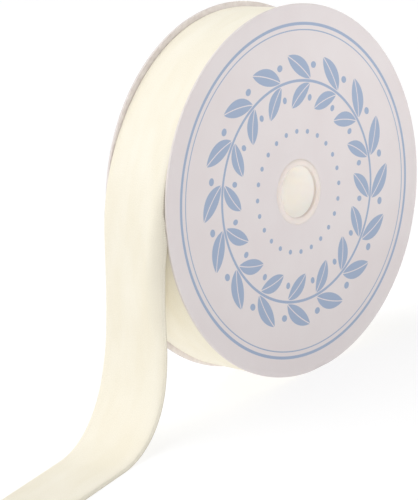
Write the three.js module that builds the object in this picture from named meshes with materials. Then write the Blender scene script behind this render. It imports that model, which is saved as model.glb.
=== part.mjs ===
// A roll of 25 mm velvet ribbon on a display spool. Two thin card discs are glued to the ends of a
// moulded hub tube, the ribbon is wound between them, and its free end hangs off the roll, bends
// onto the surface that the spool stands on and runs away along it.
// Millimetres. +Z is up and the front disc faces -Y. The origin is the middle of the small flat
// foot under the front disc.
import * as THREE from 'three';

const GAP = 0.3; // clearance between pieces that touch

// Spool
const DISC_RADIUS = 61.5;
const DISC_THICKNESS = 0.8;
const DISC_HOLE_RADIUS = 10.8;
const FOOT_DEPTH = 0.25; // height of rim worn flat where each disc stands
const HUB_RADIUS = 12;
const BORE_RADIUS = 8.6;
const HUB_LIP_HEIGHT = 0.4; // how proud of the disc's outer face the hub's rolled lip stands

// Ribbon
const RIBBON_WIDTH = 25;
const RIBBON_THICKNESS = 1.2;
const ROLL_RADIUS = 59.8; // outer face of the last turn, where the free end leaves it
// The last turn is slack where it runs under the roll. turned is in degrees round from the free
// end's root, radius is its outer face's, and swell is how much farther out its front edge lies.
const LAST_TURN = [
  { turned: 0, radius: ROLL_RADIUS - RIBBON_THICKNESS - GAP, swell: 0 },
  { turned: 30, radius: 59.2, swell: 0 },
  { turned: 52, radius: 60.2, swell: 0.2 },
  { turned: 78, radius: 60.3, swell: 0.6 },
  { turned: 102, radius: 59.9, swell: 1 },
  { turned: 121, radius: 60.7, swell: 0.5 },
  { turned: 160, radius: 60.1, swell: 0.2 },
  { turned: 205, radius: 59.7, swell: 0 },
  { turned: 360, radius: ROLL_RADIUS, swell: 0 },
];

// Free end, as its middle line is seen from the side. Its lean is measured from straight down
// towards -X, and each bend turns it at one radius from the lean before to the one named.
const LIFT_OFF = 54; // degrees above the horizontal through the axis
const HANG_LEAN = 9.3;
const BENDS = {
  off_the_roll: { radius: 72.5, lean: HANG_LEAN },
  above_the_surface: { radius: 58, lean: 26 },
  onto_the_surface: { radius: 30, lean: 90 },
};
const RUN_ON_SURFACE = 42;
const YAW = 11.2; // degrees that the free end swings towards the front as it comes down
const YAW_START = 70; // lengths along the free end between which it swings
const YAW_END = 120;

// Fineness of the curved outlines
const ROUND_STEPS = 96;
const HOLE_STEPS = 48;
const LIP_STEPS = 4;
const STRIP_STEP = 2.6; // length of one facet along a bend
const STRAIGHT_STEPS = 6;

const radians = THREE.MathUtils.degToRad;
const AXIS_HEIGHT = DISC_RADIUS - FOOT_DEPTH;
const RIBBON_FRONT = DISC_THICKNESS / 2 + GAP;
const INNER_WIDTH = RIBBON_WIDTH + 2 * GAP;
const BACK_DISC_Y = INNER_WIDTH + DISC_THICKNESS;
const MIDDLE_Y = BACK_DISC_Y / 2;

const CARD = { color: 0xdcd3d3, roughness: 0.62, metalness: 0 };
const PLASTIC = { color: 0xf1e8da, roughness: 0.38, metalness: 0 };
const VELVET = { color: 0xf5eedb, roughness: 0.95, metalness: 0 };

const roll = new THREE.Group();

function addMesh(name, geometry, finish, y, z) {
  const mesh = new THREE.Mesh(geometry, new THREE.MeshStandardMaterial(finish));
  mesh.name = name;
  mesh.position.set(0, y, z);
  roll.add(mesh);
}

// Points round the spool's axis, both ends included. radiusAt gives the radius at a turned angle.
function turnPoints(radiusAt, startAngle, turn, steps) {
  const points = [];
  for (let i = 0; i <= steps; i += 1) {
    const turned = turn * i / steps;
    const radius = radiusAt(turned);
    const angle = startAngle + turned;
    points.push(new THREE.Vector2(radius * Math.cos(angle), radius * Math.sin(angle)));
  }
  return points;
}

// An outline with a round hole about the axis, stood up in the XZ plane and thickened evenly.
function standingPlate(outlinePoints, holeRadius, thickness) {
  const outline = new THREE.Shape(outlinePoints);
  const hole = turnPoints(() => holeRadius, 0, -2 * Math.PI, HOLE_STEPS);
  hole.pop();
  outline.holes.push(new THREE.Path(hole));
  const plate = new THREE.ExtrudeGeometry(outline, { depth: thickness, bevelEnabled: false });
  plate.translate(0, 0, -thickness / 2);
  plate.rotateX(Math.PI / 2);
  return plate;
}

// A card disc: round, with its foot as one short straight edge at the bottom.
function discGeometry() {
  const footHalfAngle = Math.acos(AXIS_HEIGHT / DISC_RADIUS);
  const start = -Math.PI / 2 + footHalfAngle;
  const turn = 2 * (Math.PI - footHalfAngle);
  const rim = turnPoints(() => DISC_RADIUS, start, turn, ROUND_STEPS);
  return standingPlate(rim, DISC_HOLE_RADIUS, DISC_THICKNESS);
}

// The hub tube: a shoulder behind each disc, a collar inside its hole, and between the collar and
// the bore a rolled lip proud of the disc.
function hubGeometry() {
  const discFace = (BACK_DISC_Y + DISC_THICKNESS) / 2;
  const shoulder = INNER_WIDTH / 2 - GAP;
  const collar = DISC_HOLE_RADIUS - GAP;
  const lipMiddle = (collar + BORE_RADIUS) / 2;
  const lipHalfWidth = (collar - BORE_RADIUS) / 2;
  const end = [new THREE.Vector2(HUB_RADIUS, shoulder), new THREE.Vector2(collar, shoulder)];
  for (let i = 0; i <= LIP_STEPS; i += 1) {
    const turn = Math.PI * i / LIP_STEPS;
    const radius = lipMiddle + lipHalfWidth * Math.cos(turn);
    end.push(new THREE.Vector2(radius, discFace + HUB_LIP_HEIGHT * Math.sin(turn)));
  }
  const otherEnd = end.map(({ x, y }) => new THREE.Vector2(x, -y)).reverse();
  return new THREE.LatheGeometry([...end, ...otherEnd, end[0].clone()], HOLE_STEPS);
}

// One column of the last turn's table at a turned angle, eased from row to row.
function lastTurn(column, turned) {
  const degrees = THREE.MathUtils.radToDeg(turned);
  const last = LAST_TURN.length - 1;
  const next = LAST_TURN.findIndex((row, i) => i === last || (i > 0 && row.turned > degrees));
  const from = LAST_TURN[next - 1];
  const to = LAST_TURN[next];
  const part = THREE.MathUtils.smoothstep(degrees, from.turned, to.turned);
  return from[column] + (to[column] - from[column]) * part;
}

// The wound ribbon: its last turn around the hub, which steps down by the ribbon's thickness where
// the free end leaves it.
function windingGeometry() {
  const root = Math.PI - radians(LIFT_OFF);
  const outline = turnPoints((turned) => lastTurn('radius', turned), root, 2 * Math.PI, ROUND_STEPS);
  const winding = standingPlate(outline, HUB_RADIUS + GAP, RIBBON_WIDTH);
  swellFrontEdge(winding.getAttribute('position'), root);
  return winding;
}

function swellFrontEdge(corners, root) {
  for (let i = 0; i < corners.count; i += 1) {
    const x = corners.getX(i);
    const z = corners.getZ(i);
    const radius = Math.hypot(x, z);
    const isOutline = radius > 2 * HUB_RADIUS;
    if (isOutline && corners.getY(i) < 0) {
      const turned = (Math.atan2(z, x) - root + 2 * Math.PI) % (2 * Math.PI);
      const growth = (radius + lastTurn('swell', turned)) / radius;
      corners.setX(i, x * growth);
      corners.setZ(i, z * growth);
    }
  }
}

// The free end's stretches in order. The straight one between the first two bends is as long as it
// takes for the last bend to end flat on the surface.
function freeEndStretches(startHeight) {
  const stretches = [];
  let lean = radians(LIFT_OFF);
  let drop = startHeight - RIBBON_THICKNESS / 2;
  for (const { radius, lean: nextLean } of Object.values(BENDS)) {
    const turn = radians(nextLean) - lean;
    const bend = { length: radius * Math.abs(turn), lean, turn };
    bend.steps = Math.ceil(bend.length / STRIP_STEP);
    drop -= radius * Math.abs(Math.sin(lean + turn) - Math.sin(lean));
    stretches.push(bend);
    lean += turn;
  }
  const hangLean = radians(HANG_LEAN);
  const hang = { length: drop / Math.cos(hangLean), lean: hangLean, turn: 0 };
  hang.steps = STRAIGHT_STEPS;
  stretches.splice(1, 0, hang);
  stretches.push({ length: RUN_ON_SURFACE, lean, turn: 0, steps: STRAIGHT_STEPS });
  return stretches;
}

function yawAt(length) {
  const swung = THREE.MathUtils.smoothstep(length, YAW_START, YAW_END);
  return radians(YAW) * swung;
}

// Stations along the free end's middle line, each with the directions of its run, width and face.
function freeEndStations() {
  const middleRadius = ROLL_RADIUS - RIBBON_THICKNESS / 2;
  const offset = GAP / middleRadius; // keeps the cut face clear of the step in the winding
  const angle = Math.PI - radians(LIFT_OFF) + offset;
  const place = new THREE.Vector3(
    middleRadius * Math.cos(angle),
    MIDDLE_Y,
    AXIS_HEIGHT + middleRadius * Math.sin(angle),
  );
  const stations = [];
  let travelled = 0;
  const addStation = (lean) => {
    const yaw = yawAt(travelled);
    const run = directionAt(lean, yaw);
    const width = new THREE.Vector3(-Math.sin(yaw), Math.cos(yaw), 0);
    stations.push({ place: place.clone(), width, face: width.clone().cross(run) });
  };
  addStation(radians(LIFT_OFF));
  for (const stretch of freeEndStretches(place.z)) {
    const stepLength = stretch.length / stretch.steps;
    const stepTurn = stretch.turn / stretch.steps;
    // A chord is shorter than its arc, and keeps the bend's radius exact.
    const half = stepTurn / 2;
    const chord = half === 0 ? stepLength : stepLength * Math.sin(Math.abs(half)) / Math.abs(half);
    for (let i = 0; i < stretch.steps; i += 1) {
      const lean = stretch.lean + stepTurn * (i + 0.5);
      place.addScaledVector(directionAt(lean, yawAt(travelled + stepLength / 2)), chord);
      travelled += stepLength;
      addStation(stretch.lean + stepTurn * (i + 1));
    }
  }
  return stations;
}

function directionAt(lean, yaw) {
  const outward = Math.sin(lean);
  return new THREE.Vector3(-outward * Math.cos(yaw), -outward * Math.sin(yaw), -Math.cos(lean));
}

// A strip of the ribbon's section through the stations, closed by a flat cut at each end.
function stripGeometry(stations) {
  const corners = [[-1, -1], [1, -1], [1, 1], [-1, 1]];
  const positions = [];
  for (const { place, width, face } of stations) {
    for (const [across, through] of corners) {
      const corner = place.clone();
      corner.addScaledVector(width, across * RIBBON_WIDTH / 2);
      corner.addScaledVector(face, through * RIBBON_THICKNESS / 2);
      positions.push(corner.x, corner.y, corner.z);
    }
  }
  const last = 4 * (stations.length - 1);
  const triangles = [0, 1, 2, 0, 2, 3, last, last + 2, last + 1, last, last + 3, last + 2];
  for (let base = 0; base < last; base += 4) {
    for (let side = 0; side < 4; side += 1) {
      const here = base + side;
      const next = base + (side + 1) % 4;
      triangles.push(here, here + 4, next + 4, here, next + 4, next);
    }
  }
  const strip = new THREE.BufferGeometry();
  strip.setAttribute('position', new THREE.Float32BufferAttribute(positions, 3));
  strip.setIndex(triangles);
  return strip;
}

addMesh('front_disc', discGeometry(), CARD, 0, AXIS_HEIGHT);
addMesh('back_disc', discGeometry(), CARD, BACK_DISC_Y, AXIS_HEIGHT);
addMesh('hub', hubGeometry(), PLASTIC, MIDDLE_Y, AXIS_HEIGHT);
addMesh('wound_ribbon', windingGeometry(), VELVET, MIDDLE_Y, AXIS_HEIGHT);
addMesh('free_end', stripGeometry(freeEndStations()), VELVET, 0, 0);

export default roll;
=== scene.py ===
"""A roll of cream velvet ribbon on its card spool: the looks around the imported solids."""

import math

import bmesh
import bpy
from mathutils import Matrix, Vector, noise


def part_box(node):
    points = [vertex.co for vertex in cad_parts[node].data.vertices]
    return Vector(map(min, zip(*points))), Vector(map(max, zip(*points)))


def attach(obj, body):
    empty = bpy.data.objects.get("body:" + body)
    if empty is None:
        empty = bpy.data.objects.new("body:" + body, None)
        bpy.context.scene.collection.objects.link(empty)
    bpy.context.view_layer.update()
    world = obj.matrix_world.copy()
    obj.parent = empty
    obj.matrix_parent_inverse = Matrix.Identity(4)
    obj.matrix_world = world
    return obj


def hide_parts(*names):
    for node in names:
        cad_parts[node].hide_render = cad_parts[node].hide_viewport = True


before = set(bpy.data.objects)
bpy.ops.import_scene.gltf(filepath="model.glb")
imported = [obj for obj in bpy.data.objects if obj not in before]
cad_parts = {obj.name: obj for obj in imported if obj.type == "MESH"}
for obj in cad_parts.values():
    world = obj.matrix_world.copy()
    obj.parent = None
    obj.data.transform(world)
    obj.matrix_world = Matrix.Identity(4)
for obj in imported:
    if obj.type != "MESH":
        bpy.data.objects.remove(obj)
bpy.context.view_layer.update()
MM = 0.001

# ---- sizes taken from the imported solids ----
DISC_LOW, DISC_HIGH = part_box("front_disc")
BACK_LOW, BACK_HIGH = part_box("back_disc")
HUB_LOW, HUB_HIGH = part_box("hub")
WINDING_LOW, WINDING_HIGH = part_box("wound_ribbon")

AXIS_HEIGHT = (HUB_LOW.z + HUB_HIGH.z) / 2
DISC_RADIUS = DISC_HIGH.z - AXIS_HEIGHT
MIDDLE_Y = (WINDING_LOW.y + WINDING_HIGH.y) / 2
RIBBON_WIDTH = WINDING_HIGH.y - WINDING_LOW.y
HUB_RADIUS = (HUB_HIGH.x - HUB_LOW.x) / 2

# ---- sizes that the solids share with their source ----
DISC_HOLE_RADIUS = 10.8 * MM
BORE_RADIUS = 8.6 * MM
COLLAR_RADIUS = DISC_HOLE_RADIUS
LIP_HEIGHT = DISC_LOW.y - HUB_LOW.y  # how proud of the card the hub's rolled lips stand
DISC_THICKNESS = DISC_HIGH.y - DISC_LOW.y
RIBBON_GAP = WINDING_LOW.y - DISC_HIGH.y
RIBBON_THICKNESS = 1.2 * MM
ROLL_RADIUS = 59.8 * MM
LIFT_OFF = math.radians(54)
HANG_LEAN = math.radians(9.3)
BENDS = (
    # radius, lean that the bend ends at
    (72.5 * MM, HANG_LEAN),
    (58 * MM, math.radians(26)),
    (30 * MM, math.radians(90)),
)
RUN_ON_SURFACE = 42 * MM
YAW = math.radians(11.2)
YAW_START = 70 * MM
YAW_END = 120 * MM

# ---- the winding ----
PITCH = 1.23 * MM  # from one turn of the ribbon to the next
LAST_TURN = (
    # degrees round from the free end's root, outer radius, swell of the front edge
    (0, ROLL_RADIUS - PITCH, 0.0),
    (30, 59.2 * MM, 0.0),
    (52, 60.2 * MM, 0.2 * MM),
    (78, 60.3 * MM, 0.6 * MM),
    (102, 59.9 * MM, 1.0 * MM),
    (121, 60.7 * MM, 0.5 * MM),
    (160, 60.1 * MM, 0.2 * MM),
    (205, 59.7 * MM, 0.0),
    (360, ROLL_RADIUS, 0.0),
)
HIDDEN_LAP = math.radians(10)  # how far the last turn reaches back under the free end's root
FINE_STEP = 1.0 * MM
COARSE_STEP = 3.6 * MM

SLATE = (0.324, 0.396, 0.537, 1)
CARD_TINT = (0.708, 0.652, 0.653, 1)
CARD_CORE = (0.78, 0.71, 0.69, 1)
CREAM = (0.890, 0.840, 0.700, 1)
# painted shade: the darker velvet colour blended in along the free end's curled front edge
PAINTED_EDGE_SHADE = (0.69, 0.645, 0.545, 1)


# ---- small helpers ----
def make_object(name, bm):
    mesh = bpy.data.meshes.new(name)
    bm.normal_update()
    bm.to_mesh(mesh)
    bm.free()
    piece = bpy.data.objects.new(name, mesh)
    bpy.context.collection.objects.link(piece)
    return piece


def smoothstep(value, start, end):
    part = min(max((value - start) / (end - start), 0), 1)
    return part * part * (3 - 2 * part)


class Shading:
    """A material's node tree, with short calls for what the finishes below are made of."""

    def __init__(self, name, **constants):
        self.material = bpy.data.materials.new(name)
        self.material.use_nodes = True
        self.tree = self.material.node_tree
        self.shader = self.tree.nodes["Principled BSDF"]
        for socket, value in constants.items():
            self.shader.inputs[socket.replace("_", " ")].default_value = value

    def node(self, kind, settings=None, **inputs):
        made = self.tree.nodes.new(kind)
        for key, value in (settings or {}).items():
            setattr(made, key, value)
        for key, value in inputs.items():
            self.feed(made.inputs[key.replace("_", " ")], value)
        return made

    def feed(self, socket, value):
        if isinstance(value, bpy.types.NodeSocket):
            self.tree.links.new(value, socket)
        else:
            socket.default_value = value

    def math(self, operation, *values):
        made = self.tree.nodes.new("ShaderNodeMath")
        made.operation = operation
        for socket, value in zip(made.inputs, values):
            self.feed(socket, value)
        return made.outputs[0]

    def noise(self, vector, scale, detail=2.0, roughness=0.5):
        made = self.node("ShaderNodeTexNoise", Vector=vector, Scale=scale, Detail=detail, Roughness=roughness)
        return made.outputs["Fac"]

    def stretched(self, vector, scale):
        made = self.node("ShaderNodeVectorMath", {"operation": "MULTIPLY"})
        self.feed(made.inputs[0], vector)
        made.inputs[1].default_value = scale
        return made.outputs[0]

    def blend(self, factor, first, second):
        made = self.node("ShaderNodeMix", {"data_type": "RGBA"})
        self.feed(made.inputs["Factor"], factor)
        self.feed(made.inputs[6], first)
        self.feed(made.inputs[7], second)
        return made.outputs[2]

    def ramp(self, value, low, high):
        made = self.node("ShaderNodeMapRange", Value=value)
        made.inputs["From Min"].default_value = low
        made.inputs["From Max"].default_value = high
        return made.outputs[0]

    def bump(self, height, strength, distance, under=None):
        made = self.node("ShaderNodeBump", Height=height, Strength=strength, Distance=distance)
        if under is not None:
            self.tree.links.new(under, made.inputs["Normal"])
        return made.outputs[0]

    def place(self):
        return self.node("ShaderNodeTexCoord").outputs["Object"]

    def vertex_value(self, name):
        return self.node("ShaderNodeAttribute", {"attribute_name": name}).outputs["Fac"]

    def unrolled(self):
        return self.node("ShaderNodeUVMap", {"uv_map": "unrolled"}).outputs["UV"]

    def finish(self, color=None, normal=None, roughness=None):
        for socket, value in (("Base Color", color), ("Normal", normal), ("Roughness", roughness)):
            if value is not None:
                self.tree.links.new(value, self.shader.inputs[socket])
        return self.material


# ---- finishes ----
def velvet():
    """Short dense pile: soft sheen at grazing angles, brushed patches and a fine grain of tufts."""
    made = Shading(
        "velvet_pile", Base_Color=CREAM, Roughness=0.93, Specular_IOR_Level=0.12,
        Sheen_Weight=0.15, Sheen_Roughness=0.42, Sheen_Tint=(1.0, 0.985, 0.93, 1),
    )
    flat = made.unrolled()
    brushed = made.noise(made.stretched(flat, (130, 38, 1)), 1.0, 3, 0.55)
    tufts = made.noise(made.stretched(flat, (3400, 3000, 1)), 1.0, 2, 0.6)
    shade = made.blend(made.ramp(brushed, 0.32, 0.68), (0.902, 0.847, 0.706, 1), (0.935, 0.890, 0.770, 1))
    grain = made.blend(made.ramp(tufts, 0.30, 0.70), (0.93, 0.93, 0.92, 1), (1.03, 1.03, 1.03, 1))
    color = made.node("ShaderNodeMix", {"data_type": "RGBA", "blend_type": "MULTIPLY"})
    made.feed(color.inputs["Factor"], 1.0)
    # blends in painted shade along the free end's front edge, at the strength stored on each point
    made.feed(color.inputs[6], made.blend(made.vertex_value("painted_edge_shade"), shade, PAINTED_EDGE_SHADE))
    made.feed(color.inputs[7], grain)
    lean = made.bump(brushed, 0.35, 0.25 * MM)
    pile = made.bump(tufts, 0.45, 0.10 * MM, lean)
    return made.finish(color.outputs[2], pile)


def selvage():
    """The woven edge beside the pile: fine weft loops across the ribbon's run."""
    made = Shading("ribbon_selvage", Base_Color=CREAM, Roughness=0.72, Specular_IOR_Level=0.25)
    flat = made.unrolled()
    loops = made.node("ShaderNodeTexWave", {"bands_direction": "Y"}, Vector=flat, Scale=420.0, Distortion=0.6)
    color = made.blend(loops.outputs["Fac"], (0.62, 0.575, 0.47, 1), (0.72, 0.68, 0.575, 1))
    return made.finish(color, made.bump(loops.outputs["Fac"], 0.5, 0.12 * MM))


def backing():
    """The ribbon's flat woven back: a fine plain weave with a dull satin gloss."""
    made = Shading("ribbon_backing", Base_Color=CREAM, Roughness=0.62, Specular_IOR_Level=0.3)
    flat = made.unrolled()
    warp = made.node("ShaderNodeTexWave", {"bands_direction": "X"}, Vector=flat, Scale=560.0, Distortion=0.3)
    weft = made.node("ShaderNodeTexWave", {"bands_direction": "Y"}, Vector=flat, Scale=480.0, Distortion=0.3)
    weave = made.math("MULTIPLY", warp.outputs["Fac"], weft.outputs["Fac"])
    color = made.blend(weave, (0.79, 0.735, 0.59, 1), (0.89, 0.85, 0.73, 1))
    return made.finish(color, made.bump(weave, 0.5, 0.12 * MM))


def card_surface(name, printed):
    """Coated card: faint fibres under a smooth skin, with a slate garland printed on the front."""
    made = Shading(name, Base_Color=CARD_TINT, Roughness=0.5, Specular_IOR_Level=0.4)
    place = made.place()
    fibres = made.noise(made.stretched(place, (900, 900, 260)), 1.0, 4, 0.6)
    mottle = made.noise(place, 55.0, 3, 0.5)
    paper = made.blend(made.ramp(mottle, 0.3, 0.7), (0.696, 0.636, 0.637, 1), (0.720, 0.670, 0.670, 1))
    gloss = made.node("ShaderNodeMapRange", Value=fibres)
    gloss.inputs["To Min"].default_value = 0.44
    gloss.inputs["To Max"].default_value = 0.58
    color = paper
    if printed:
        color = made.blend(garland(made, place), paper, SLATE)
    return made.finish(color, made.bump(fibres, 0.12, 0.05 * MM), gloss.outputs[0])


def garland(made, place):
    """1 where the print has ink: leaf sprigs on a ring between thin rings, and dots round the hub."""
    apart = made.node("ShaderNodeSeparateXYZ", Vector=place)
    across = apart.outputs["X"]
    up = made.math("SUBTRACT", apart.outputs["Z"], AXIS_HEIGHT)

    def length_of(first, second):
        first_squared = made.math("MULTIPLY", first, first)
        second_squared = made.math("MULTIPLY", second, second)
        return made.math("SQRT", made.math("ADD", first_squared, second_squared))

    radius = length_of(across, up)
    angle = made.math("ARCTAN2", up, across)

    def ring(middle, width):
        return made.math("COMPARE", radius, middle, width / 2)

    def repeat(count, middle):
        """Where a point lies within one of count equal parts of a ring: along it and out from it."""
        part = made.math("FRACT", made.math("MULTIPLY", angle, count / (2 * math.pi)))
        along = made.math("MULTIPLY", made.math("SUBTRACT", part, 0.5), 2 * math.pi * middle / count)
        return along, made.math("SUBTRACT", radius, middle)

    def dot(along, out, place_along, place_out, size):
        x = made.math("SUBTRACT", along, place_along)
        y = made.math("SUBTRACT", out, place_out)
        return made.math("LESS_THAN", length_of(x, y), size)

    def leaf(along, out, place_along, place_out, tilt, long, wide):
        """The overlap of two circles, with a thin bare line down its middle."""
        x = made.math("SUBTRACT", along, place_along)
        y = made.math("SUBTRACT", out, place_out)
        cos, sin = math.cos(tilt), math.sin(tilt)
        run = made.math("ADD", made.math("MULTIPLY", x, cos), made.math("MULTIPLY", y, sin))
        across_run = made.math("SUBTRACT", made.math("MULTIPLY", y, cos), made.math("MULTIPLY", x, sin))
        side = made.math("ABSOLUTE", across_run)
        bow = (long * long - wide * wide) / (4 * wide)
        inside = made.math("LESS_THAN", length_of(run, made.math("ADD", side, bow)), bow + wide / 2)
        vein = made.math("GREATER_THAN", side, half_vein)
        return made.math("MULTIPLY", inside, vein)

    half_vein = 0.16 * MM
    sprigs, stem = 16, 36.5 * MM
    leaf_out, leaf_tilt, leaf_size = 4.7 * MM, math.radians(38), (12.8 * MM, 5.4 * MM)
    berry_along, berry_out, berry = -5.7 * MM, 5.4 * MM, 1.1 * MM
    along, out = repeat(sprigs, stem)
    ink = [
        ring(stem, 0.9 * MM),
        ring(55 * MM, 1.0 * MM),
        ring(53 * MM, 0.4 * MM),
        leaf(along, out, 0, leaf_out, leaf_tilt, *leaf_size),
        leaf(along, out, 0, -leaf_out, -leaf_tilt, *leaf_size),
        dot(along, out, berry_along, berry_out, berry),
        dot(along, out, berry_along, -berry_out, berry),
        dot(*repeat(24, 20 * MM), 0, 0, 0.8 * MM),
    ]
    total = ink[0]
    for part in ink[1:]:
        total = made.math("MAXIMUM", total, part)
    return total


def card_edge():
    """The die-cut edge: pale layers of pulp, a little rough."""
    made = Shading("card_cut_edge", Base_Color=CARD_CORE, Roughness=0.85, Specular_IOR_Level=0.2)
    place = made.place()
    layers = made.noise(made.stretched(place, (300, 7000, 300)), 1.0, 3, 0.6)
    color = made.blend(made.ramp(layers, 0.35, 0.65), (0.72, 0.655, 0.63, 1), (0.82, 0.77, 0.745, 1))
    return made.finish(color, made.bump(layers, 0.5, 0.06 * MM))


def hub_plastic(name, shade, highlight):
    """Moulded plastic: slightly translucent, with a faint satin texture."""
    made = Shading(
        name, Base_Color=shade, Roughness=0.36, Specular_IOR_Level=0.45,
        Subsurface_Weight=0.3, Subsurface_Radius=(0.004, 0.003, 0.002), Subsurface_Scale=0.5,
    )
    place = made.place()
    texture = made.noise(place, 1800.0, 2, 0.5)
    flow = made.noise(place, 160.0, 2, 0.5)
    color = made.blend(made.ramp(flow, 0.35, 0.65), shade, highlight)
    gloss = made.node("ShaderNodeMapRange", Value=flow)
    gloss.inputs["To Min"].default_value = 0.30
    gloss.inputs["To Max"].default_value = 0.42
    return made.finish(color, made.bump(texture, 0.08, 0.04 * MM), gloss.outputs[0])


# ---- the ribbon's route ----
def direction(lean, yaw):
    outward = math.sin(lean)
    return Vector((-outward * math.cos(yaw), -outward * math.sin(yaw), -math.cos(lean)))


def last_turn_at(degrees):
    """The last turn's outer radius and the swell of its front edge, eased from row to row."""
    for (start, radius, swell), (end, next_radius, next_swell) in zip(LAST_TURN, LAST_TURN[1:]):
        if degrees <= end or end == LAST_TURN[-1][0]:
            part = smoothstep(degrees, start, end)
            return radius + (next_radius - radius) * part, swell + (next_swell - swell) * part


def winding_route(first_angle, last_angle, step):
    """Stations along the spiral. Angles are unrolled, and the free end's root is at 0."""
    stations = []
    angle = first_angle
    length = 0.0
    while True:
        radius = ROLL_RADIUS + PITCH * angle / (2 * math.pi)
        swell = 0.0
        if angle > -2 * math.pi:
            radius, swell = last_turn_at(math.degrees(angle) + 360)
        radius -= RIBBON_THICKNESS / 2
        turned = math.pi - LIFT_OFF + angle
        out = Vector((math.cos(turned), 0, math.sin(turned)))
        place = Vector((0, MIDDLE_Y, AXIS_HEIGHT)) + out * (radius + swell / 2)
        width = (Vector((0, RIBBON_WIDTH, 0)) - out * swell) / RIBBON_WIDTH
        stations.append((place, width, out, length))
        if angle >= last_angle:
            return stations
        advance = min(step / radius, last_angle - angle)
        angle += advance
        length += radius * advance


def free_route(length):
    """Stations from the root of the free end to its cut, each with its length along the ribbon."""
    root, width, out, _ = winding_route(0, 0, FINE_STEP)[0]
    drop = root.z - RIBBON_THICKNESS / 2
    lean = LIFT_OFF
    stretches = []
    for radius, next_lean in BENDS:
        turn = next_lean - lean
        stretches.append((radius * abs(turn), lean, turn))
        drop -= radius * abs(math.sin(next_lean) - math.sin(lean))
        lean = next_lean
    stretches.insert(1, (drop / math.cos(HANG_LEAN), HANG_LEAN, 0.0))
    stretches.append((RUN_ON_SURFACE, lean, 0.0))
    place = root.copy()
    travelled = 0.0
    stations = []
    for stretch, start_lean, turn in stretches:
        steps = math.ceil(stretch / FINE_STEP)
        step = stretch / steps
        for i in range(steps):
            middle_lean = start_lean + turn * (i + 0.5) / steps
            place = place + direction(middle_lean, yaw_at(travelled + step / 2)) * step
            travelled += step
            end_lean = start_lean + turn * (i + 1) / steps
            yaw = yaw_at(travelled)
            width = Vector((-math.sin(yaw), math.cos(yaw), 0))
            face = width.cross(direction(end_lean, yaw))
            stations.append((place, width, face, length + travelled))
    return stations


def yaw_at(travelled):
    return YAW * smoothstep(travelled, YAW_START, YAW_END)


# ---- the ribbon's section ----
PILE_OVERHANG = 0.2 * MM  # how far the pile stands out past the woven edge
SELVAGE = 0.15 * MM
BASE = 0.45 * MM  # woven base under the pile
SHOULDER = 0.45 * MM  # over which the pile rises from the selvage
EDGE_ROUND = 0.2 * MM  # how far in from the woven edge both faces start to round off
EDGE_SLOPE = 0.6
LUMPS = 0.07 * MM  # height of the pile's slow swells
PILE, WOVEN, BACK = 0, 1, 2  # material slots of the ribbon
CURL_REACH = 5.0 * MM  # how far in from the front edge it curls back
PACKED_PILE = 0.9  # how far up the pile stands at the woven edges where the discs hold it
RELAXING, RELAXED = 48 * MM, 72 * MM  # where along the free end that pile lies down again
FRONT_EDGE = (
    # length along the free end, how far its front edge curls back, how strong the painted shade
    # along that edge is there, how far in that shade reaches, and how far the edge swells forward past the
    # rim
    (0, 0.0, 0.0, 2 * MM, 0.0),
    (34 * MM, 0.0, 0.3, 2.5 * MM, 0.0),
    (40 * MM, 0.05 * MM, 0.5, 3 * MM, 0.0),
    (46 * MM, 0.35 * MM, 0.7, 3.5 * MM, 0.0),
    (51 * MM, 0.75 * MM, 0.9, 4 * MM, 0.6 * MM),
    (56 * MM, 1.0 * MM, 0.95, 5 * MM, 1.1 * MM),
    (66 * MM, 0.9 * MM, 0.8, 7.5 * MM, 0.2 * MM),
    (78 * MM, 0.6 * MM, 0.5, 7.5 * MM, 0.0),
    (90 * MM, 0.4 * MM, 0.2, 4 * MM, 0.0),
    (128 * MM, 0.0, 0.15, 3 * MM, 0.0),
    (210 * MM, 0.0, 0.0, 3 * MM, 0.0),
)


def pile_section(edge_steps, columns):
    """Across the ribbon from its front edge to its back one: how far a point lies from the middle,
    and how much of the pile's height the surface has there."""
    half = RIBBON_WIDTH / 2 + PILE_OVERHANG
    places = [(-half + SELVAGE * i / edge_steps, 0.0) for i in range(edge_steps + 1)]
    for i in range(1, edge_steps + 1):
        part = i / edge_steps
        places.append((-half + SELVAGE + SHOULDER * part, math.sin(part * math.pi / 2)))
    inner = half - SELVAGE - SHOULDER
    middle = [(-inner + 2 * inner * i / columns, 1.0) for i in range(1, columns)]
    mirrored = [(-place, pile) for place, pile in reversed(places)]
    return places + middle + mirrored


def ribbon_rows(bm, painted_edge_shade, station, section, outer_turn):
    """The upper and the lower row of points across the ribbon at one station."""
    place, width, face, length = station
    bottom = RIBBON_THICKNESS / 2
    top_row, bottom_row = [], []
    for across, pile in section:
        curled = flat = forward = lumps = 0.0
        if outer_turn:
            lumps = uneven_pile(across, length) * pile
            pile = packed_pile(pile, length)
            curled, flat, forward = front_edge(across, length)
        height = BASE + (RIBBON_THICKNESS - BASE) * pile + lumps
        rounding = max(0, abs(across) - (RIBBON_WIDTH / 2 - EDGE_ROUND)) * EDGE_SLOPE
        bent = place + width * (across - forward) - face * curled
        top_row.append(bm.verts.new(bent + face * (height - bottom - rounding)))
        # flat here is the strength of the painted shade on the front edge, stored on the point
        top_row[-1][painted_edge_shade] = flat
        bottom_row.append(bm.verts.new(bent + face * (rounding - bottom)))
    return top_row, bottom_row


def add_face(bm, unrolled, corners, uvs, material):
    made = bm.faces.new(corners)
    made.material_index = material
    made.smooth = True
    for loop, uv in zip(made.loops, uvs):
        loop[unrolled].uv = uv


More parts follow.
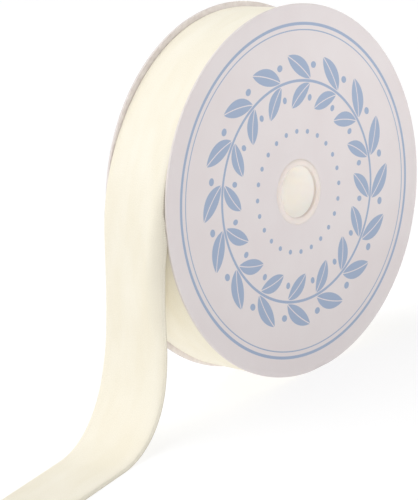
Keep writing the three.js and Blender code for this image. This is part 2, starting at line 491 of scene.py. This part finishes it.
def add_stretch(bm, unrolled, section, near, far, here, there, packed):
    """The faces from one station to the next: the pile, the back and the two woven edges."""
    (near_top, near_bottom), (far_top, far_bottom) = near, far
    last = len(section) - 1
    for j in range(last):
        left, right = section[j][0], section[j + 1][0]
        woven = not packed and section[j][1] == 0 and section[j + 1][1] == 0
        above = (near_top[j], far_top[j], far_top[j + 1], near_top[j + 1])
        below = (near_bottom[j + 1], far_bottom[j + 1], far_bottom[j], near_bottom[j])
        uvs = ((left, here), (left, there), (right, there), (right, here))
        add_face(bm, unrolled, above, uvs, WOVEN if woven else PILE)
        add_face(bm, unrolled, below, uvs[::-1], BACK)
    for j in (0, last):
        side = (near_bottom[j], far_bottom[j], far_top[j], near_top[j])
        uvs = ((0, here), (0, there), (BASE, there), (BASE, here))
        if j == last:
            side, uvs = side[::-1], uvs[::-1]
        add_face(bm, unrolled, side, uvs, WOVEN)


def add_cut_end(bm, unrolled, section, row, first):
    """The square cut across one end of the ribbon."""
    top, bottom = row
    for j in range(len(section) - 1):
        left, right = section[j][0], section[j + 1][0]
        cap = (top[j], top[j + 1], bottom[j + 1], bottom[j])
        uvs = ((left, 0), (right, 0), (right, BASE), (left, BASE))
        if not first:
            cap, uvs = cap[::-1], uvs[::-1]
        add_face(bm, unrolled, cap, uvs, WOVEN)


def ribbon_piece(name, stations, section, outer_turn):
    """The ribbon as a closed sheet: pile above, selvages and backing below, cut square at each end."""
    bm = bmesh.new()
    unrolled = bm.loops.layers.uv.new("unrolled")
    # each point's strength of the painted shade that the velvet blends in along the front edge
    painted_edge_shade = bm.verts.layers.float.new("painted_edge_shade")
    rows = [ribbon_rows(bm, painted_edge_shade, station, section, outer_turn) for station in stations]
    for i in range(len(stations) - 1):
        here, there = stations[i][3], stations[i + 1][3]
        packed = outer_turn and there < LOOSE_FROM + RELAXING
        add_stretch(bm, unrolled, section, rows[i], rows[i + 1], here, there, packed)
    add_cut_end(bm, unrolled, section, rows[0], True)
    add_cut_end(bm, unrolled, section, rows[-1], False)
    bmesh.ops.recalc_face_normals(bm, faces=bm.faces)
    piece = make_object(name, bm)
    for material in (VELVET, SELVAGE_WEAVE, BACKING):
        piece.data.materials.append(material)
    return piece


def uneven_pile(across, length):
    """Slow swells where the pile was squashed in packing."""
    return LUMPS * noise.noise(Vector((across * 160, length * 60, 3.7)))


def packed_pile(pile, length):
    """The pile stands up to the ribbon's very edges between the discs, and relaxes on the free end."""
    packed = PACKED_PILE * (1 - smoothstep(length - LOOSE_FROM, RELAXING, RELAXED))
    return packed + (1 - packed) * pile


def front_edge(across, length):
    """How far the free end curls back here, how strong the painted shade on its front edge is, and its swell
    forward.
    """
    inwards = max(0, across + RIBBON_WIDTH / 2)
    travelled = length - LOOSE_FROM
    if travelled <= 0:
        return 0.0, 0.0, 0.0
    for (start, *before), (end, *after) in zip(FRONT_EDGE, FRONT_EDGE[1:]):
        if travelled <= end:
            part = smoothstep(travelled, start, end)
            depth, flat, reach, swell = (a + (b - a) * part for a, b in zip(before, after))
            bend = max(0, 1 - inwards / CURL_REACH) ** 2
            # flat is the strength of the painted shade, fading from the front edge inwards
            return depth * bend, flat * max(0, 1 - inwards / reach), swell * bend
    return 0.0, 0.0, 0.0


# ---- the spool ----
OUTER_FACE, INNER_FACE, CUT_EDGE = 0, 1, 2  # material slots of a card disc
RIM, BORE = 0, 1  # material slots of the hub


def revolved(name, profile, steps, materials):
    """Sweeps a closed outline round the spool's axis. A row is the radius, y and the material slot of
    the stretch that follows."""
    bm = bmesh.new()
    rings = []
    for radius, y, _ in profile:
        ring = []
        for i in range(steps):
            turned = 2 * math.pi * i / steps
            z = AXIS_HEIGHT + radius * math.sin(turned)
            ring.append(bm.verts.new((radius * math.cos(turned), y, max(z, 0.0))))
        rings.append(ring)
    for near in range(len(profile)):
        far = (near + 1) % len(profile)
        for i in range(steps):
            j = (i + 1) % steps
            made = bm.faces.new((rings[near][i], rings[near][j], rings[far][j], rings[far][i]))
            made.smooth = True
            made.material_index = profile[near][2]
    bmesh.ops.recalc_face_normals(bm, faces=bm.faces)
    piece = make_object(name, bm)
    for material in materials:
        piece.data.materials.append(material)
    return piece


def rounded(radius_sign, y_sign, radius, y, size, material, steps=3):
    """A quarter round at an outline's corner, from the face to the edge."""
    points = []
    for i in range(steps + 1):
        turn = (math.pi / 2) * i / steps
        points.append((
            radius - radius_sign * size * (1 - math.sin(turn)),
            y - y_sign * size * (1 - math.cos(turn)),
            material,
        ))
    return points


def card_disc(name, low, high, outer, outer_face, inner_face):
    """A die-cut disc. outer is -1 where its outer face looks to -Y, and 1 where it looks to +Y."""
    outside = low.y if outer < 0 else high.y
    inside = high.y if outer < 0 else low.y
    burr = 0.12 * MM
    rings = 24
    flat_width = DISC_RADIUS - DISC_HOLE_RADIUS - 2 * burr
    faces = [DISC_HOLE_RADIUS + burr + flat_width * k / rings for k in range(rings + 1)]
    profile = [(radius, outside, OUTER_FACE) for radius in faces]
    profile += rounded(1, outer, DISC_RADIUS, outside, burr, CUT_EDGE)[1:]
    profile += rounded(1, -outer, DISC_RADIUS, inside, burr, CUT_EDGE)[::-1]
    profile += [(radius, inside, INNER_FACE) for radius in reversed(faces[:-1])]
    profile += rounded(-1, -outer, DISC_HOLE_RADIUS, inside, burr, CUT_EDGE)[1:]
    profile += rounded(-1, outer, DISC_HOLE_RADIUS, outside, burr, CUT_EDGE)[::-1][:-1]
    return revolved(name, profile, 256, (outer_face, inner_face, CARD_EDGE))


def hub_tube():
    """The hub: shoulders behind the discs, and in each hole a rolled lip proud of the card."""
    shoulder = WINDING_HIGH.y - MIDDLE_Y
    chamfer = 0.3 * MM
    sunk = 0.1 * MM  # how far inside the card's face the lip begins
    face = DISC_THICKNESS + RIBBON_GAP + shoulder - sunk
    middle = (COLLAR_RADIUS + BORE_RADIUS) / 2
    wide = (COLLAR_RADIUS - BORE_RADIUS) / 2
    half = [(HUB_RADIUS, 0, RIM), (HUB_RADIUS, shoulder - chamfer, RIM)]
    half += [(HUB_RADIUS - chamfer, shoulder, RIM), (COLLAR_RADIUS, shoulder, RIM)]
    lip_steps = 16
    for i in range(lip_steps + 1):
        turn = math.pi * i / lip_steps
        rise = math.sin(turn) ** (2 if turn < math.pi / 2 else 1)
        half.append((middle + wide * math.cos(turn), face + (LIP_HEIGHT + sunk) * rise, RIM))
    seam = face - 0.4 * MM
    groove = BORE_RADIUS + 0.2 * MM
    # The groove is lined with the darker rim plastic: painted shade in the groove.
    half += [(BORE_RADIUS, seam, RIM), (groove, seam - 0.1 * MM, RIM)]
    half += [(groove, seam - 0.45 * MM, RIM), (BORE_RADIUS, seam - 0.55 * MM, BORE)]
    profile = [(radius, MIDDLE_Y + y, slot) for radius, y, slot in half]
    # The mirrored half runs the other way, so each stretch has the material of the one that it mirrors.
    for point, before in list(zip(half[1:], half[:-1]))[::-1]:
        profile.append((point[0], MIDDLE_Y - point[1], before[2]))
    return revolved("hub_tube", profile, 160, (HUB_RIM_AND_GROOVE_SHADE, HUB_BORE_PAINTED_LIGHT))


# ---- camera, light and floor ----
VIEW_AZIMUTH = math.radians(-44.3)
VIEW_ELEVATION = math.radians(16.4)
VIEW_ROLL = math.radians(-7.9)
VIEW_DISTANCE = 0.738
DISC_RIGHT_OF_MIDDLE = 0.0295
DISC_ABOVE_MIDDLE = 0.0191
LENS = 162


def add_camera():
    back = Vector((
        math.sin(VIEW_AZIMUTH) * math.cos(VIEW_ELEVATION),
        -math.cos(VIEW_AZIMUTH) * math.cos(VIEW_ELEVATION),
        math.sin(VIEW_ELEVATION),
    ))
    level_right = Vector((0, 0, 1)).cross(back).normalized()
    level_up = back.cross(level_right)
    right = level_right * math.cos(VIEW_ROLL) + level_up * math.sin(VIEW_ROLL)
    up = back.cross(right)
    data = bpy.data.cameras.new("camera")
    data.lens = LENS
    data.clip_end = 50
    camera = bpy.data.objects.new("camera", data)
    disc_middle = Vector((0, DISC_LOW.y, AXIS_HEIGHT))
    place = disc_middle - right * DISC_RIGHT_OF_MIDDLE - up * DISC_ABOVE_MIDDLE + back * VIEW_DISTANCE
    turned = Matrix((right, up, back)).transposed().to_4x4()
    camera.matrix_world = Matrix.Translation(place) @ turned
    bpy.context.collection.objects.link(camera)
    bpy.context.scene.camera = camera


def add_panel(name, place, aim, width, height, spread, power):
    data = bpy.data.lights.new(name, "AREA")
    data.shape = "RECTANGLE"
    data.size = width
    data.size_y = height
    data.spread = math.radians(spread)
    data.energy = power
    lamp = bpy.data.objects.new(name, data)
    lamp.location = place
    lamp.rotation_euler = (Vector(place) - Vector(aim)).to_track_quat("Z", "Y").to_euler()
    bpy.context.collection.objects.link(lamp)


def add_sun(name, towards, width, strength):
    data = bpy.data.lights.new(name, "SUN")
    data.angle = math.radians(width)
    data.energy = strength
    lamp = bpy.data.objects.new(name, data)
    lamp.rotation_euler = Vector(towards).to_track_quat("Z", "Y").to_euler()
    bpy.context.collection.objects.link(lamp)


WORLD_LIGHT = 0.31
SUNS = (
    # name, which way it lies, how wide it is in degrees, strength
    ("above", (-0.2, 0.5, 1), 60, 1.45),
    ("front_left", (-0.67, -0.69, 0.28), 14, 0.77),
    ("behind", (-0.5, 0.85, 0.4), 60, 0.62),
)
SPOOL_MIDDLE = (0, MIDDLE_Y, AXIS_HEIGHT)
PANELS = (
    # name, place, what it faces, width, height, spread in degrees, power
    ("overhead", (-0.10, -0.05, 0.55), SPOOL_MIDDLE, 0.45, 0.45, 180, 0.26),
    ("front_high", (0.05, -0.35, 0.25), (0.02, 0, 0.09), 0.25, 0.08, 35, 0.010),
    ("front_right", (0.20, -0.20, 0.15), (0.03, 0, 0.095), 0.12, 0.12, 50, 0.0155),
)
FLOOR_GREY = (0.3, 0.3, 0.3, 1)
FLOOR_GLOW = 0.745  # brings the grey up to white, so that shadows on it stay faint


def add_studio():
    world = bpy.data.worlds.new("studio")
    world.use_nodes = True
    world.node_tree.nodes["Background"].inputs["Color"].default_value = (1, 1, 1, 1)
    world.node_tree.nodes["Background"].inputs["Strength"].default_value = WORLD_LIGHT
    bpy.context.scene.world = world
    for sun in SUNS:
        add_sun(*sun)
    for panel in PANELS:
        add_panel(*panel)
    bm = bmesh.new()
    bmesh.ops.create_grid(bm, x_segments=1, y_segments=1, size=6)
    floor = make_object("floor", bm)
    paper = Shading(
        "floor_paper", Base_Color=FLOOR_GREY, Roughness=0.9, Specular_IOR_Level=0.1,
        Emission_Color=(1, 1, 1, 1), Emission_Strength=FLOOR_GLOW,
    )
    floor.data.materials.append(paper.material)
    view = bpy.context.scene.view_settings
    view.view_transform = "Standard"
    view.look = "None"


# ---- putting it together ----
add_camera()
add_studio()

VELVET = velvet()
SELVAGE_WEAVE = selvage()
BACKING = backing()
CARD_PRINTED = card_surface("card_printed", True)
CARD_PLAIN = card_surface("card_plain", False)
CARD_EDGE = card_edge()
# The rim's copy of the plastic also lines the groove at the bore's mouth as painted shade.
HUB_RIM_AND_GROOVE_SHADE = hub_plastic("moulded_rim_and_groove_shade", (0.77, 0.69, 0.645, 1), (0.80, 0.72, 0.675, 1))
# The bore's copy of the hub plastic is painted much lighter than the rim's: painted light inside the bore.
HUB_BORE_PAINTED_LIGHT = hub_plastic("moulded_bore_painted_light", (0.985, 0.94, 0.88, 1), (0.99, 0.955, 0.90, 1))

LAST_TURN_START = -2 * math.pi - HIDDEN_LAP
HUB_CLEARANCE = 0.3 * MM  # between the hub and the innermost turn
INNERMOST = (HUB_RADIUS + HUB_CLEARANCE + RIBBON_THICKNESS) - ROLL_RADIUS
FIRST_TURN = 2 * math.pi * INNERMOST / PITCH

last_turn = winding_route(LAST_TURN_START, 0, FINE_STEP)
LOOSE_FROM = last_turn[-1][3]
outer = last_turn + free_route(LOOSE_FROM)
inner = winding_route(FIRST_TURN, LAST_TURN_START, COARSE_STEP)

loose_ribbon = ribbon_piece("last_turn_and_free_end", outer, pile_section(4, 22), True)
inner_turns = ribbon_piece("inner_turns", inner, pile_section(1, 4), False)
front_card = card_disc("front_card", DISC_LOW, DISC_HIGH, -1, CARD_PRINTED, CARD_PLAIN)
back_card = card_disc("back_card", BACK_LOW, BACK_HIGH, 1, CARD_PLAIN, CARD_PLAIN)
hub = hub_tube()

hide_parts("free_end")
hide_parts("wound_ribbon")
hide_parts("front_disc")
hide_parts("back_disc")
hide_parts("hub")
for piece, slot in (
    (loose_ribbon, "velvet"), (inner_turns, "velvet"),
    (front_card, "card"), (back_card, "card"), (hub, "hub_plastic"),
):
    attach(piece, "root")
